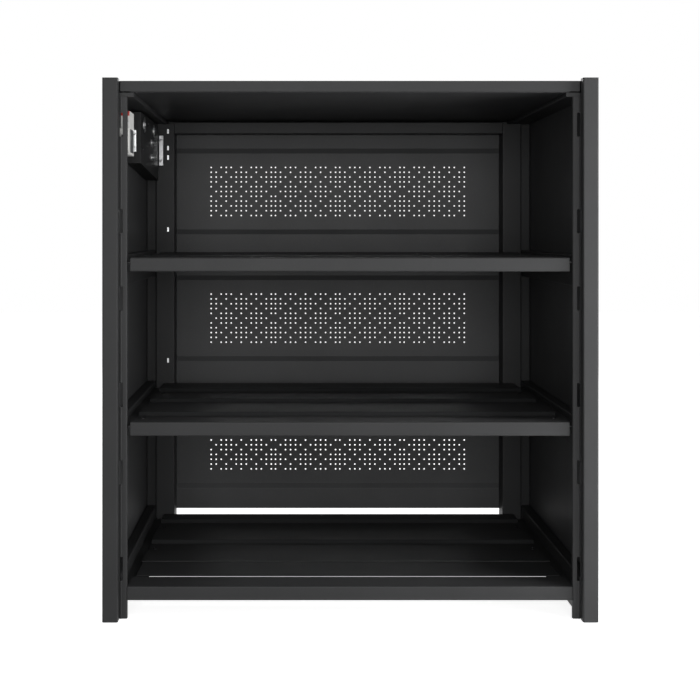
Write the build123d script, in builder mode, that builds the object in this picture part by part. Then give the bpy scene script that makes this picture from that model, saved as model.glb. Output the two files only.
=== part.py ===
from build123d import *
import os

# A free-standing battery cabinet of folded sheet steel, open at the front, with a floor tray, two
# shelves and a small group of electrical parts on the upper left wall. Millimetres, +Z up, the front
# faces -Y. The origin is on the ground, in the middle of the overall size.

# Overall size
width = 950.0
depth = 650.0
height = 1044.0

# Sheet thicknesses and bends
panel_sheet = 1.2
frame_sheet = 2.0
tray_sheet = 1.5
inner_bend = 1.0

# Clearances
ground_gap = 2.0
screw_clearance = 0.3
lid_clearance = 0.3
pivot_clearance = 0.05

# Front columns
column_width = 30.0
column_depth = 22.0
column_wall = 2.0
column_radius = 3.0
column_cap = 2.0

# Posts. Insets are measured inward from the outer face of the columns.
panel_inset = 6.0
front_post_inset = 45.0
front_post_leg = 50.0
front_post_hem = 8.0
rear_post_inset = 77.0
rear_post_step_inset = 31.0
rear_post_depth = 48.0
rear_post_step = 12.0
rear_post_return_inset = 30.0
post_top_drop = 34.0

# Slots for the hooks of a front cover, in pairs, and the bead beside the column
slot_width = 6.5
slot_height = 46.0
slot_half_spread = 93.2
slot_pair_extra = 18.0
slot_middle_rise = 5.0
slot_corner = 1.5
bead_inset = 32.5
bead_radius = 1.6
bead_height = 0.9

# Levels: the floor, the lower shelf and the upper shelf
floor_top = 64.0
level_count = 3
level_rest = 91.5

# Trays
tray_inset = 51.0
tray_lip = 27.0
tray_lip_return = 12.0
tray_rear_gap = 2.0
recess_depth = 7.0
recess_width = 80.0
recess_slope = 8.0
shelf_recess_depths = (106.0, 289.0, 455.0)
floor_recess_depths = (312.0, 492.0)
floor_recess_width = 88.0
floor_beam_depth = 66.0
floor_slit = 10.0
floor_seam_depth = 195.0
floor_seam_overlap = 12.0

# Side rails that carry the trays
rail_inset = 31.0
rail_rise = 4.0
rail_drop = 58.0
floor_rail_rise = 18.0
ledge_inset = 75.0
ledge_end_gap = 20.0
rail_notch = 52.0

# Rear beams
top_beam_height = 29.0
top_beam_drop = 29.0
bottom_beam_bottom = 8.0
bottom_beam_height = 37.0
beam_flange = 25.0

# Back panel
field_bulge = 5.8
field_height = 188.0
field_slope = 12.0
first_field = 221.0
field_pitch_loss = 4.0
back_panel_bottom = 66.0
back_panel_top_drop = 8.0
back_panel_side_gap = 0.8

# Perforation of the back panel: four hits of a diamond pattern in each field
hole_radius = 1.9
hole_pitch_x = 12.4
hole_pitch_z = 11.9
hit_columns = 13
hit_rows = 11
hit_gap = 10.4
hits = 4

# Top
top_panel_drop = 3.7
top_panel_lip = 20.6
top_panel_side_inset = 4.5
top_panel_front = 2.0
top_panel_column_gap = 1.5
lip_screw_drop = 15.0
upper_rail_inset = 57.0
ceiling_drop = 26.0
ceiling_overlap = 5.0
ceiling_fold = 15.0

# Screws
m4_radius = 2.0
m5_radius = 2.5
m6_radius = 3.0

# Levelling feet
foot_inset = 19.6
front_foot_back = 25.0
rear_foot_back = 18.0
foot_pad_radius = 8.0
foot_pad_height = 6.0
foot_stem_radius = 5.0
foot_stem_top = 62.0
foot_plate_bottom = 20.0
foot_plate_sheet = 4.0
foot_nut_flats = 16.0
foot_nut_height = 8.0

# Breaker on its rail and bracket, all hung from the top of the cabinet
breaker_inset = 23.5
breaker_width = 17.8
breaker_front = 83.0
breaker_nose = 17.0
breaker_back = 141.0
breaker_top_drop = 56.0
breaker_height = 86.0
nose_bottom_rise = 5.0
nose_height = 46.0
toggle_width = 8.4
toggle_radius = 7.5
toggle_reach = 17.0
toggle_thickness = 4.4
toggle_back = 10.0
toggle_tilt = 30.0
toggle_slot_side = 0.3
toggle_slot_height = 19.0
toggle_pin_radius = 1.5
toggle_pin_reach = 3.0
strip_height = 9.0
strip_thickness = 1.0
insert_thickness = 0.8
din_height = 35.0
din_depth = 7.5
din_web = 25.0
din_sheet = 1.0
din_front = 136.0
din_drop = 110.0
bracket_height = 44.0
bracket_inset = 45.5
bracket_leg = 41.5

# Terminal plate behind the breaker
plate_inset = 37.5
plate_front = 272.0
plate_top_drop = 38.0
plate_front_drop = 148.0
plate_rear_drop = 171.0
plate_rear_flange = 5.0
large_hole_radius = 14.0
large_hole_depth = 334.0
large_hole_drop = 60.0
small_hole_radius = 11.5
small_hole_depth = 502.0
small_hole_drop = 59.0
grommet_wall = 3.7
grommet_flange = 3.0
grommet_flange_thickness = 1.5
stud_depth = 446.0
stud_drops = (90.5, 124.5)
stud_radius = 4.0
stud_reach = 14.0
stud_back = 14.0
insulator_radius = 8.0
insulator_sleeve = 6.0
insulator_flange = 2.0
washer_radius = 7.6
washer_thickness = 1.2
stud_nut_flats = 13.0
stud_nut_height = 6.0
plate_screw_spots = ((406.0, 52.0), (295.0, 116.5))
spacer_radius = 5.0

# Earth bar and cable clips on the left rear post
earth_bar_inset = 39.7
earth_bar_width = 10.0
earth_bar_thickness = 6.0
earth_bar_top_drop = 63.0
earth_bar_height = 72.0
clip_inset = 61.0
clip_drops = (52.0, 92.5, 115.4, 290.0, 608.0)
clip_width = 2.6
clip_height = 9.0
clip_depth = 7.0
clip_proud = 1.0
clip_brim = 0.8

# Places worked out from the sizes above
left = -width / 2
front = -depth / 2
frame_front = front + column_depth
back_plane = depth / 2 - field_bulge - panel_sheet
rear_flange = back_plane - rear_post_depth
post_top = height - post_top_drop
level_pitch = (height - level_rest) / level_count
shelf_tops = (floor_top + level_pitch, floor_top + 2 * level_pitch)
ledge_drop = recess_depth + tray_sheet
beam_half = width / 2 - rear_post_inset
tray_half = width / 2 - tray_inset
front_beam_half = width / 2 - front_post_inset - screw_clearance
field_pitch = level_pitch - field_pitch_loss
panel_inner_inset = panel_inset + panel_sheet
leg_inner_inset = panel_inner_inset + frame_sheet
lip_screw_spread = 0.25 * depth


def inset(distance):
    """X of a place that far inward from the outer face of the left column."""
    return left + distance


def back(distance):
    """Y of a place that far behind the front of the columns."""
    return front + distance


def down(distance):
    """Z of a place that far below the top of the columns."""
    return height - distance


def facing(x, y, z, direction):
    """A plane at a place, whose normal points in a direction."""
    return Plane(origin=(x, y, z), z_dir=direction)


RIGHT = (1, 0, 0)
LEFT = (-1, 0, 0)
FORWARD = (0, -1, 0)
BACKWARD = (0, 1, 0)
UP = (0, 0, 1)


def folded_sheet(points, thickness):
    """Adds the section of a folded sheet. One face follows the points, with the metal at its right."""
    near = [Vector(*point) for point in points]
    runs = [(end - start).normalized() for start, end in zip(near, near[1:])]
    rights = [Vector(run.Y, -run.X) for run in runs]
    far = [near[0] + rights[0] * thickness]
    near_radii = []
    far_radii = []
    for corner, before, after in zip(near[1:-1], rights, rights[1:]):
        far.append(corner + (before + after) * (thickness / (1 + before.dot(after))))
        turns_right = before.cross(after).Z < 0
        near_radii.append(inner_bend + thickness if turns_right else inner_bend)
        far_radii.append(inner_bend if turns_right else inner_bend + thickness)
    far.append(near[-1] + rights[-1] * thickness)
    with BuildLine() as outline:
        FilletPolyline(*near, radius=near_radii)
        FilletPolyline(*far, radius=far_radii)
        Line(near[0], far[0])
        Line(near[-1], far[-1])
    make_face(outline.edges())


def button_screw(radius, length):
    """A button-head socket screw. Its head stands on the XY plane and its shank hangs below it."""
    with BuildPart() as screw:
        with BuildSketch():
            Circle(radius)
        extrude(amount=-length)
        with BuildSketch():
            Circle(1.9 * radius)
        extrude(amount=1.1 * radius)
        rim = screw.faces().sort_by(Axis.Z)[-1].edges()
        fillet(rim, radius=0.7 * radius)
        with BuildSketch(Plane.XY.offset(1.1 * radius)):
            RegularPolygon(0.65 * radius, 6)
        extrude(amount=-0.7 * radius, mode=Mode.SUBTRACT)
    return screw.part


def hex_nut(flats, thickness, bore_radius):
    """A plain hexagon nut that stands on the XY plane."""
    with BuildPart() as nut:
        with BuildSketch():
            RegularPolygon(flats / 2, 6, major_radius=False, rotation=30)
            Circle(bore_radius, mode=Mode.SUBTRACT)
        extrude(amount=thickness)
    return nut.part


def bore(radius, reach, places):
    """Cuts a round clearance hole through the sheets at each place, as far as the reach on both sides."""
    with Locations(*places):
        Cylinder(radius, 2 * reach, mode=Mode.SUBTRACT)


# Screw places. Those on the left wall are mirrored for the right one.
side_screw_depths = (47.0, depth - 25.0)
side_screw_heights = (110.0, 0.5 * height, down(110.0))
side_screw_places = [
    facing(inset(panel_inset), back(across), up, LEFT)
    for across in side_screw_depths
    for up in side_screw_heights
]
top_screw_places = [
    facing(inset(top_panel_side_inset), across, down(15.0), LEFT) for across in (-0.25 * depth, 0.25 * depth)
]
rail_bolt_back = 61.0
rail_bolt_places = [
    facing(inset(leg_inner_inset + frame_sheet), back(rail_bolt_back), level - 8.0, RIGHT)
    for level in (floor_top, *shelf_tops)
]
back_screw_inset = 20.0
back_screw_places = [
    facing(inset(back_screw_inset), back_plane + panel_sheet, up, BACKWARD)
    for up in (90.0, floor_top + level_pitch, floor_top + 2 * level_pitch, down(60.0))
]
earth_screw_drops = (earth_bar_top_drop + 11.0, earth_bar_top_drop + earth_bar_height - 11.0)
earth_bar_middle = inset(earth_bar_inset + earth_bar_width / 2)
earth_screw_places = [
    facing(earth_bar_middle, rear_flange - earth_bar_thickness, down(drop), FORWARD)
    for drop in earth_screw_drops
]
clip_places = [(inset(clip_inset), rear_flange, down(drop)) for drop in clip_drops]
bracket_screw_back = back(din_front + din_depth + 0.7 * bracket_leg)
bracket_screw_places = [
    facing(inset(leg_inner_inset), bracket_screw_back, down(din_drop) + step, RIGHT)
    for step in (-12.0, 12.0)
]

# Front columns: closed rectangular tubes
with BuildPart() as left_column:
    with BuildSketch(Plane.XY.offset(ground_gap + column_cap)):
        with Locations((inset(column_width / 2), back(column_depth / 2))):
            RectangleRounded(column_width, column_depth, column_radius)
            RectangleRounded(
                column_width - 2 * column_wall,
                column_depth - 2 * column_wall,
                column_radius / 2,
                mode=Mode.SUBTRACT,
            )
    extrude(amount=height - ground_gap - 2 * column_cap)

with BuildPart() as right_column:
    mirror(left_column.part, about=Plane.YZ)

with BuildPart() as column_caps:
    for cap_bottom in (ground_gap, height - column_cap):
        with BuildSketch(Plane.XY.offset(cap_bottom)):
            with Locations((inset(column_width / 2), back(column_depth / 2))):
                RectangleRounded(column_width, column_depth, column_radius)
            with Locations((-inset(column_width / 2), back(column_depth / 2))):
                RectangleRounded(column_width, column_depth, column_radius)
        extrude(amount=column_cap)

# Front posts: slotted angles behind the columns
slot_pitch = level_pitch + slot_pair_extra
slot_heights = [
    height / 2 + slot_middle_rise + pair * slot_pitch + side * slot_half_spread
    for pair in (-1, 0, 1)
    for side in (-1, 1)
]

with BuildPart() as left_front_post:
    with BuildSketch(Plane.XY.offset(ground_gap)):
        folded_sheet(
            [
                (inset(front_post_inset), frame_front + front_post_hem),
                (inset(front_post_inset), frame_front),
                (inset(panel_inner_inset), frame_front),
                (inset(panel_inner_inset), frame_front + front_post_leg),
            ],
            frame_sheet,
        )
        with Locations((inset(bead_inset), frame_front + bead_radius - bead_height)):
            Circle(bead_radius)
    extrude(amount=post_top - ground_gap)
    with BuildSketch(Plane.XZ.offset(-frame_front)):
        with Locations(*[(inset(column_width + slot_width / 2), up) for up in slot_heights]):
            RectangleRounded(slot_width, slot_height, slot_corner)
    extrude(amount=2 * frame_sheet, both=True, mode=Mode.SUBTRACT)
    bore(m6_radius + screw_clearance, 2 * frame_sheet, rail_bolt_places)
    bore(m5_radius + screw_clearance, 2 * frame_sheet, side_screw_places)

with BuildPart() as right_front_post:
    mirror(left_front_post.part, about=Plane.YZ)


# Rear posts: stepped channels that the rails butt against
def rear_post():
    """The left rear post, before the holes for the earth bar and the slots for the clips."""
    with BuildPart() as post:
        with BuildSketch(Plane.XY.offset(ground_gap)) as section:
            folded_sheet(
                [
                    (inset(rear_post_inset), back_plane),
                    (inset(rear_post_inset), rear_flange),
                    (inset(rear_post_step_inset), rear_flange),
                    (inset(rear_post_step_inset), rear_flange + rear_post_step),
                    (inset(panel_inner_inset), rear_flange + rear_post_step),
                    (inset(panel_inner_inset), back_plane),
                    (inset(rear_post_return_inset), back_plane),
                ],
                frame_sheet,
            )
        extrude(section.sketch, amount=post_top - ground_gap)
        bore(m5_radius + screw_clearance, 2 * frame_sheet, side_screw_places)
        bore(m4_radius + screw_clearance, 3 * frame_sheet, back_screw_places)
    return post.part


with BuildPart() as left_rear_post:
    add(rear_post())
    bore(m4_radius + screw_clearance, 2 * earth_bar_thickness, earth_screw_places)
    with Locations(*clip_places):
        Box(
            clip_width + 2 * screw_clearance,
            4 * frame_sheet,
            clip_height + 2 * screw_clearance,
            mode=Mode.SUBTRACT,
        )

with BuildPart() as right_rear_post:
    mirror(rear_post(), about=Plane.YZ)

# Side panels
side_panel_top = down(top_panel_drop + panel_sheet + 1.0)

with BuildPart() as left_side_panel:
    with BuildSketch(Plane.YZ.offset(inset(panel_inset))):
        with Locations(((frame_front + back_plane) / 2, (ground_gap + side_panel_top) / 2)):
            Rectangle(back_plane - frame_front, side_panel_top - ground_gap)
    extrude(amount=panel_sheet)
    bore(m5_radius + screw_clearance, 2 * frame_sheet, side_screw_places)
    bore(m4_radius + screw_clearance, 3 * frame_sheet, top_screw_places)
    bore(m4_radius + screw_clearance, 2 * frame_sheet, bracket_screw_places)

with BuildPart() as right_side_panel:
    mirror(left_side_panel.part, about=Plane.YZ)

# Upper rails: they stand on the posts and carry the top panel and the ceiling
ceiling_bottom = down(ceiling_drop)
top_panel_top = down(top_panel_drop)

with BuildPart() as left_upper_rail:
    with BuildSketch(Plane.XZ.offset(-back_plane)):
        folded_sheet(
            [
                (inset(upper_rail_inset), ceiling_bottom),
                (inset(upper_rail_inset), post_top),
                (inset(panel_inner_inset), post_top),
                (inset(panel_inner_inset), top_panel_top - panel_sheet),
            ],
            frame_sheet,
        )
    extrude(amount=back_plane - frame_front - frame_sheet)
    with BuildSketch(Plane.XZ.offset(-frame_front - frame_sheet)):
        end_plate_middle = (inset(leg_inner_inset) + inset(upper_rail_inset)) / 2
        with Locations((end_plate_middle, (post_top + ceiling_bottom) / 2)):
            Rectangle(upper_rail_inset - leg_inner_inset, ceiling_bottom - post_top)
    extrude(amount=-frame_sheet)
    bore(m4_radius + screw_clearance, 5 * frame_sheet, top_screw_places)

with BuildPart() as right_upper_rail:
    mirror(left_upper_rail.part, about=Plane.YZ)

# Rear beams: channels between the rear posts
with BuildPart() as rear_top_beam:
    beam_top = down(top_beam_drop)
    with BuildSketch(Plane.YZ.offset(-beam_half)):
        folded_sheet(
            [
                (rear_flange + beam_flange, beam_top - top_beam_height),
                (rear_flange, beam_top - top_beam_height),
                (rear_flange, beam_top),
                (rear_flange + beam_flange, beam_top),
            ],
            frame_sheet,
        )
    extrude(amount=2 * beam_half)

with BuildPart() as rear_bottom_beam:
    with BuildSketch(Plane.YZ.offset(-beam_half)):
        folded_sheet(
            [
                (rear_flange + beam_flange, bottom_beam_bottom),
                (rear_flange, bottom_beam_bottom),
                (rear_flange, bottom_beam_bottom + bottom_beam_height),
                (rear_flange + beam_flange, bottom_beam_bottom + bottom_beam_height),
            ],
            frame_sheet,
        )
    extrude(amount=2 * beam_half)

# Ceiling: it lies on the lips of the upper rails
with BuildPart() as ceiling_panel:
    ceiling_half = width / 2 - upper_rail_inset + frame_sheet + ceiling_overlap
    ceiling_front = frame_front + tray_sheet
    with BuildSketch(Plane.YZ.offset(-ceiling_half)):
        folded_sheet(
            [
                (ceiling_front + panel_sheet, ceiling_bottom + ceiling_fold),
                (ceiling_front + panel_sheet, ceiling_bottom + panel_sheet),
                (rear_flange + beam_flange, ceiling_bottom + panel_sheet),
            ],
            panel_sheet,
        )
    extrude(amount=2 * ceiling_half)

# Top panel: a shallow lid, notched behind the columns
with BuildPart() as top_panel:
    lid_front = frame_front - top_panel_front
    lid_rear = back_plane + panel_sheet + lid_clearance + panel_sheet
    lid_lip = top_panel_top - top_panel_lip
    lid_front_half = width / 2 - column_width - top_panel_column_gap
    with BuildSketch(Plane.YZ.offset(-lid_front_half)):
        folded_sheet(
            [
                (lid_front, lid_lip),
                (lid_front, top_panel_top),
                (lid_rear, top_panel_top),
                (lid_rear, lid_lip),
            ],
            panel_sheet,
        )
    extrude(amount=2 * lid_front_half)
    with BuildSketch(Plane.XZ.offset(-lid_rear + panel_sheet)):
        folded_sheet(
            [
                (inset(top_panel_side_inset), lid_lip),
                (inset(top_panel_side_inset), top_panel_top),
                (-inset(top_panel_side_inset), top_panel_top),
                (-inset(top_panel_side_inset), lid_lip),
            ],
            panel_sheet,
        )
    extrude(amount=lid_rear - panel_sheet - frame_front - 1.0)
    bore(m4_radius + screw_clearance, 3 * frame_sheet, top_screw_places)
    mirrored_top_screws = [
        facing(-inset(top_panel_side_inset), across, down(lip_screw_drop), RIGHT)
        for across in (-lip_screw_spread, lip_screw_spread)
    ]
    bore(m4_radius + screw_clearance, 3 * frame_sheet, mirrored_top_screws)

# Back panel: one folded sheet whose three perforated fields stand back
field_centres = [first_field + step * field_pitch for step in range(level_count)]


def diamond_spots():
    """Column and row of each hole of one hit: small diamonds on a staggered lattice."""
    centres = [(column, row) for column in (0, 6, 12) for row in (2, 8)]
    centres += [(column, row) for column in (3, 9) for row in (-1, 5, 11)]
    spots = []
    for column in range(hit_columns):
        for row in range(hit_rows):
            if min(abs(column - c) + abs(row - r) for c, r in centres) <= 2:
                spots.append((column, row))
    return spots


hit_width = (hit_columns - 1) * hole_pitch_x
hit_step = hit_width + hit_gap
hole_spots = [
    (
        (hit - (hits - 1) / 2) * hit_step + (column - (hit_columns - 1) / 2) * hole_pitch_x,
        centre + (row - (hit_rows - 1) / 2) * hole_pitch_z,
    )
    for centre in field_centres
    for hit in range(hits)
    for column, row in diamond_spots()
]

with BuildPart() as back_panel:
    back_half = width / 2 - panel_inner_inset - back_panel_side_gap
    fold_line = [(back_plane, back_panel_bottom)]
    for centre in field_centres:
        fold_line.append((back_plane, centre - field_height / 2 - field_slope))
        fold_line.append((back_plane + field_bulge, centre - field_height / 2))
        fold_line.append((back_plane + field_bulge, centre + field_height / 2))
        fold_line.append((back_plane, centre + field_height / 2 + field_slope))
    fold_line.append((back_plane, down(back_panel_top_drop)))
    with BuildSketch(Plane.YZ.offset(-back_half)):
        folded_sheet(fold_line, panel_sheet)
    extrude(amount=2 * back_half)
    with BuildSketch(Plane.XZ.offset(-back_plane)):
        with Locations(*hole_spots):
            Circle(hole_radius)
    extrude(amount=-2 * field_bulge, mode=Mode.SUBTRACT)
    bore(m4_radius + screw_clearance, 3 * frame_sheet, back_screw_places)
    mirrored_back_screws = [
        facing(-place.origin.X, place.origin.Y, place.origin.Z, BACKWARD) for place in back_screw_places
    ]
    bore(m4_radius + screw_clearance, 3 * frame_sheet, mirrored_back_screws)


# Trays: folded sheets with recessed bands that lie on the ledges of the side rails
def band_line(top, recess_depths, band_width):
    """The points of the recessed bands of one tray, from front to rear."""
    points = []
    for middle in recess_depths:
        points.append((back(middle - band_width / 2 - recess_slope / 2), top))
        points.append((back(middle - band_width / 2 + recess_slope / 2), top - recess_depth))
        points.append((back(middle + band_width / 2 - recess_slope / 2), top - recess_depth))
        points.append((back(middle + band_width / 2 + recess_slope / 2), top))
    return points


tray_screw_inset = 63.0
shelf_rear = rear_flange - tray_rear_gap


def tray_screw_places(top, recess_depths):
    """Screw places in the first and last recess of a tray, at both sides."""
    return [
        facing(side * inset(tray_screw_inset), back(middle), top - recess_depth, UP)
        for middle in (recess_depths[0], recess_depths[-1])
        for side in (1, -1)
    ]


def shelf(top):
    """One shelf tray at the height of its top."""
    with BuildPart() as tray:
        with BuildSketch(Plane.YZ.offset(-tray_half)) as section:
            folded_sheet(
                [
                    (frame_front + tray_lip_return, top - tray_lip),
                    (frame_front, top - tray_lip),
                    (frame_front, top),
                    *band_line(top, shelf_recess_depths, recess_width),
                    (shelf_rear, top),
                    (shelf_rear, top - tray_lip),
                ],
                tray_sheet,
            )
        extrude(section.sketch, amount=2 * tray_half)
        bore(m5_radius + screw_clearance, 2 * tray_sheet, tray_screw_places(top, shelf_recess_depths))
    return tray.part


with BuildPart() as lower_shelf:
    add(shelf(shelf_tops[0]))

with BuildPart() as upper_shelf:
    add(shelf(shelf_tops[1]))

floor_beam_rear = frame_front + floor_beam_depth
front_plate_edge = floor_beam_rear + floor_slit
floor_tray_front = back(floor_seam_depth)

with BuildPart() as floor_front_beam:
    with BuildSketch(Plane.YZ.offset(-front_beam_half)):
        folded_sheet(
            [
                (frame_front + tray_lip_return, floor_top - tray_lip),
                (frame_front, floor_top - tray_lip),
                (frame_front, floor_top),
                (floor_beam_rear, floor_top),
                (floor_beam_rear, floor_top - ledge_drop),
            ],
            tray_sheet,
        )
    extrude(amount=2 * front_beam_half)

# The floor's front plate tucks under the floor tray and stands on the ledges by its side lips
with BuildPart() as floor_front_plate:
    plate_top = floor_top - tray_sheet
    plate_length = floor_tray_front + floor_seam_overlap - front_plate_edge
    with BuildSketch(Plane.XZ.offset(-floor_tray_front - floor_seam_overlap)):
        folded_sheet(
            [
                (-tray_half, floor_top - ledge_drop),
                (-tray_half, plate_top),
                (tray_half, plate_top),
                (tray_half, floor_top - ledge_drop),
            ],
            tray_sheet,
        )
    extrude(amount=plate_length)

with BuildPart() as floor_tray:
    with BuildSketch(Plane.YZ.offset(-tray_half)):
        folded_sheet(
            [
                (floor_tray_front, floor_top),
                *band_line(floor_top, floor_recess_depths, floor_recess_width),
                (shelf_rear, floor_top),
                (shelf_rear, floor_top - tray_lip),
            ],
            tray_sheet,
        )
    extrude(amount=2 * tray_half)
    bore(m5_radius + screw_clearance, 2 * tray_sheet, tray_screw_places(floor_top, floor_recess_depths))


# Side rails: channels with an inward ledge, bolted to the front posts and butted to the rear posts
def side_rail(top, rise, bottom, recess_depths):
    """The left rail of one level: its channel, its end tab and the ledge under the tray."""
    rail_front = frame_front + frame_sheet + inner_bend
    rail_rear = rear_flange + rear_post_step - inner_bend
    ledge_top = top - ledge_drop
    with BuildPart() as rail:
        with BuildSketch(Plane.XZ.offset(-rail_rear)) as channel:
            folded_sheet(
                [
                    (inset(leg_inner_inset), top + rise),
                    (inset(rail_inset), top + rise),
                    (inset(rail_inset), bottom),
                    (inset(leg_inner_inset), bottom),
                ],
                frame_sheet,
            )
        extrude(channel.sketch, amount=rail_rear - rail_front)
        ledge_front = frame_front + front_post_hem
        ledge_rear = rear_flange - ledge_end_gap
        with BuildSketch(Plane.XY.offset(ledge_top)) as ledge:
            ledge_middle = (inset(rail_inset) + inset(ledge_inset)) / 2 - 0.5
            with Locations((ledge_middle, (ledge_front + ledge_rear) / 2)):
                Rectangle(ledge_inset - rail_inset + 1.0, ledge_rear - ledge_front)
        extrude(ledge.sketch, amount=-frame_sheet)
        with BuildSketch(Plane.YZ.offset(inset(leg_inner_inset))) as tab:
            with Locations(((rail_front + frame_front + front_post_leg) / 2, (top + rise + bottom) / 2)):
                Rectangle(frame_front + front_post_leg - rail_front, top + rise - bottom - frame_sheet)
        extrude(tab.sketch, amount=frame_sheet)
        bore(m6_radius + screw_clearance, 2 * frame_sheet, rail_bolt_places)
        bore(m5_radius + screw_clearance, 3 * frame_sheet, side_screw_places)
        bore(m5_radius + screw_clearance, 2 * frame_sheet, tray_screw_places(top, recess_depths))
    return rail.part


with BuildPart() as left_floor_rail:
    add(side_rail(floor_top, floor_rail_rise, ground_gap, floor_recess_depths))
    with Locations((inset((leg_inner_inset + rail_inset) / 2), frame_front + rail_notch / 2, ground_gap)):
        notch_width = rail_inset - leg_inner_inset - 2 * frame_sheet
        Box(notch_width, rail_notch - 2 * frame_sheet, 4 * frame_sheet, mode=Mode.SUBTRACT)

with BuildPart() as left_lower_shelf_rail:
    add(side_rail(shelf_tops[0], rail_rise, shelf_tops[0] - rail_drop, shelf_recess_depths))

with BuildPart() as left_upper_shelf_rail:
    add(side_rail(shelf_tops[1], rail_rise, shelf_tops[1] - rail_drop, shelf_recess_depths))

with BuildPart() as right_floor_rail:
    mirror(left_floor_rail.part, about=Plane.YZ)

with BuildPart() as right_lower_shelf_rail:
    mirror(left_lower_shelf_rail.part, about=Plane.YZ)

with BuildPart() as right_upper_shelf_rail:
    mirror(left_upper_shelf_rail.part, about=Plane.YZ)


# Screws
def on_both_sides(screw, places):
    """Adds a screw at each place on the left and at its mirror place on the right."""
    with BuildPart() as group:
        with Locations(*places):
            add(screw)
    add(group.part)
    mirror(group.part, about=Plane.YZ)


with BuildPart() as side_panel_screws:
    on_both_sides(button_screw(m5_radius, panel_sheet + frame_sheet + 4.0), side_screw_places)

with BuildPart() as top_panel_screws:
    on_both_sides(button_screw(m4_radius, 10.0), top_screw_places)

with BuildPart() as back_panel_screws:
    on_both_sides(button_screw(m4_radius, 9.0), back_screw_places)

with BuildPart() as rail_bolts:
    on_both_sides(button_screw(m6_radius, 2 * frame_sheet - 0.3), rail_bolt_places)

with BuildPart() as tray_screws:
    all_tray_screws = tray_screw_places(floor_top, floor_recess_depths)
    for shelf_top in shelf_tops:
        all_tray_screws += tray_screw_places(shelf_top, shelf_recess_depths)
    with Locations(*all_tray_screws):
        add(button_screw(m5_radius, tray_sheet + frame_sheet + 5.0))


# Levelling feet, their plates and lock nuts, at the four corners
rear_foot_y = back_plane - rear_foot_back
front_foot_y = frame_front + front_foot_back
foot_spots = {
    "left_front_foot": (inset(foot_inset), front_foot_y),
    "right_front_foot": (-inset(foot_inset), front_foot_y),
    "left_rear_foot": (inset(foot_inset), rear_foot_y),
    "right_rear_foot": (-inset(foot_inset), rear_foot_y),
}


def levelling_foot(spot):
    """A round pad with a stem that screws through its plate."""
    with BuildPart() as foot:
        with BuildSketch() as pad:
            with Locations(spot):
                Circle(foot_pad_radius)
        extrude(pad.sketch, amount=foot_pad_height)
        fillet(foot.edges().sort_by(Axis.Z)[-1], radius=1.5)
        with BuildSketch() as stem:
            with Locations(spot):
                Circle(foot_stem_radius)
        extrude(stem.sketch, amount=foot_stem_top)
        chamfer(foot.edges().sort_by(Axis.Z)[-1], length=1.0)
    return foot.part


foot_parts = {}
for foot_name, foot_spot in foot_spots.items():
    with BuildPart() as levelling:
        add(levelling_foot(foot_spot))
    foot_parts[foot_name] = levelling

with BuildPart() as foot_plates:
    front_plate_left = inset(leg_inner_inset + frame_sheet)
    plate_right = inset(rail_inset - frame_sheet)
    front_plate_front = frame_front + frame_sheet
    front_plate_rear = frame_front + front_post_leg
    rear_plate_front = rear_flange + rear_post_step + frame_sheet + inner_bend
    rear_plate_rear = back_plane - frame_sheet - inner_bend
    with BuildSketch(Plane.XY.offset(foot_plate_bottom)):
        with Locations(((front_plate_left + plate_right) / 2, (front_plate_front + front_plate_rear) / 2)):
            Rectangle(plate_right - front_plate_left, front_plate_rear - front_plate_front)
        rear_plate_middle = (inset(leg_inner_inset) + plate_right) / 2
        with Locations((rear_plate_middle, (rear_plate_front + rear_plate_rear) / 2)):
            Rectangle(plate_right - inset(leg_inner_inset), rear_plate_rear - rear_plate_front)
        mirror(about=Plane.YZ)
        with Locations(*foot_spots.values()):
            Circle(foot_stem_radius + pivot_clearance, mode=Mode.SUBTRACT)
    extrude(amount=foot_plate_sheet)

with BuildPart() as foot_lock_nuts:
    with Locations(*[(x, y, foot_plate_bottom + foot_plate_sheet) for x, y in foot_spots.values()]):
        add(hex_nut(foot_nut_flats, foot_nut_height, foot_stem_radius + pivot_clearance))

# Breaker bracket and its top-hat rail
din_centre = down(din_drop)
bracket_front = back(din_front + din_depth)

with BuildPart() as breaker_bracket:
    with BuildSketch(Plane.XY.offset(din_centre - bracket_height / 2)):
        folded_sheet(
            [
                (inset(bracket_inset), bracket_front),
                (inset(panel_inner_inset), bracket_front),
                (inset(panel_inner_inset), bracket_front + bracket_leg),
            ],
            frame_sheet,
        )
    extrude(amount=bracket_height)
    bore(m4_radius + screw_clearance, 2 * frame_sheet, bracket_screw_places)

with BuildPart() as bracket_screws:
    with Locations(*bracket_screw_places):
        add(button_screw(m4_radius, frame_sheet + panel_sheet))

with BuildPart() as din_rail:
    brim_front = back(din_front)
    web_front = bracket_front - din_sheet
    with BuildSketch(Plane.YZ.offset(inset(leg_inner_inset + 2.0))):
        folded_sheet(
            [
                (brim_front, din_centre - din_height / 2),
                (brim_front, din_centre - din_web / 2),
                (web_front, din_centre - din_web / 2),
                (web_front, din_centre + din_web / 2),
                (brim_front, din_centre + din_web / 2),
                (brim_front, din_centre + din_height / 2),
            ],
            din_sheet,
        )
    extrude(amount=bracket_inset - leg_inner_inset - 3.0)

# Breaker: case, marker strip, side insert, toggle and terminal screws
case_left = inset(breaker_inset)
case_front = back(breaker_front)
nose_front = case_front - breaker_nose
case_back = back(breaker_back)
case_top = down(breaker_top_drop)
case_bottom = case_top - breaker_height
nose_bottom = case_bottom + nose_bottom_rise
nose_top = nose_bottom + nose_height
toggle_y = nose_front + toggle_back
toggle_z = (nose_bottom + nose_top) / 2
toggle_left = case_left + (breaker_width - toggle_width) / 2
terminal_screw_xs = (case_left + 0.25 * breaker_width, case_left + 0.75 * breaker_width)
terminal_screw_z = case_top - strip_height - 13.0
terminal_hole_radius = 2.6
terminal_hole_depth = 6.0

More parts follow.
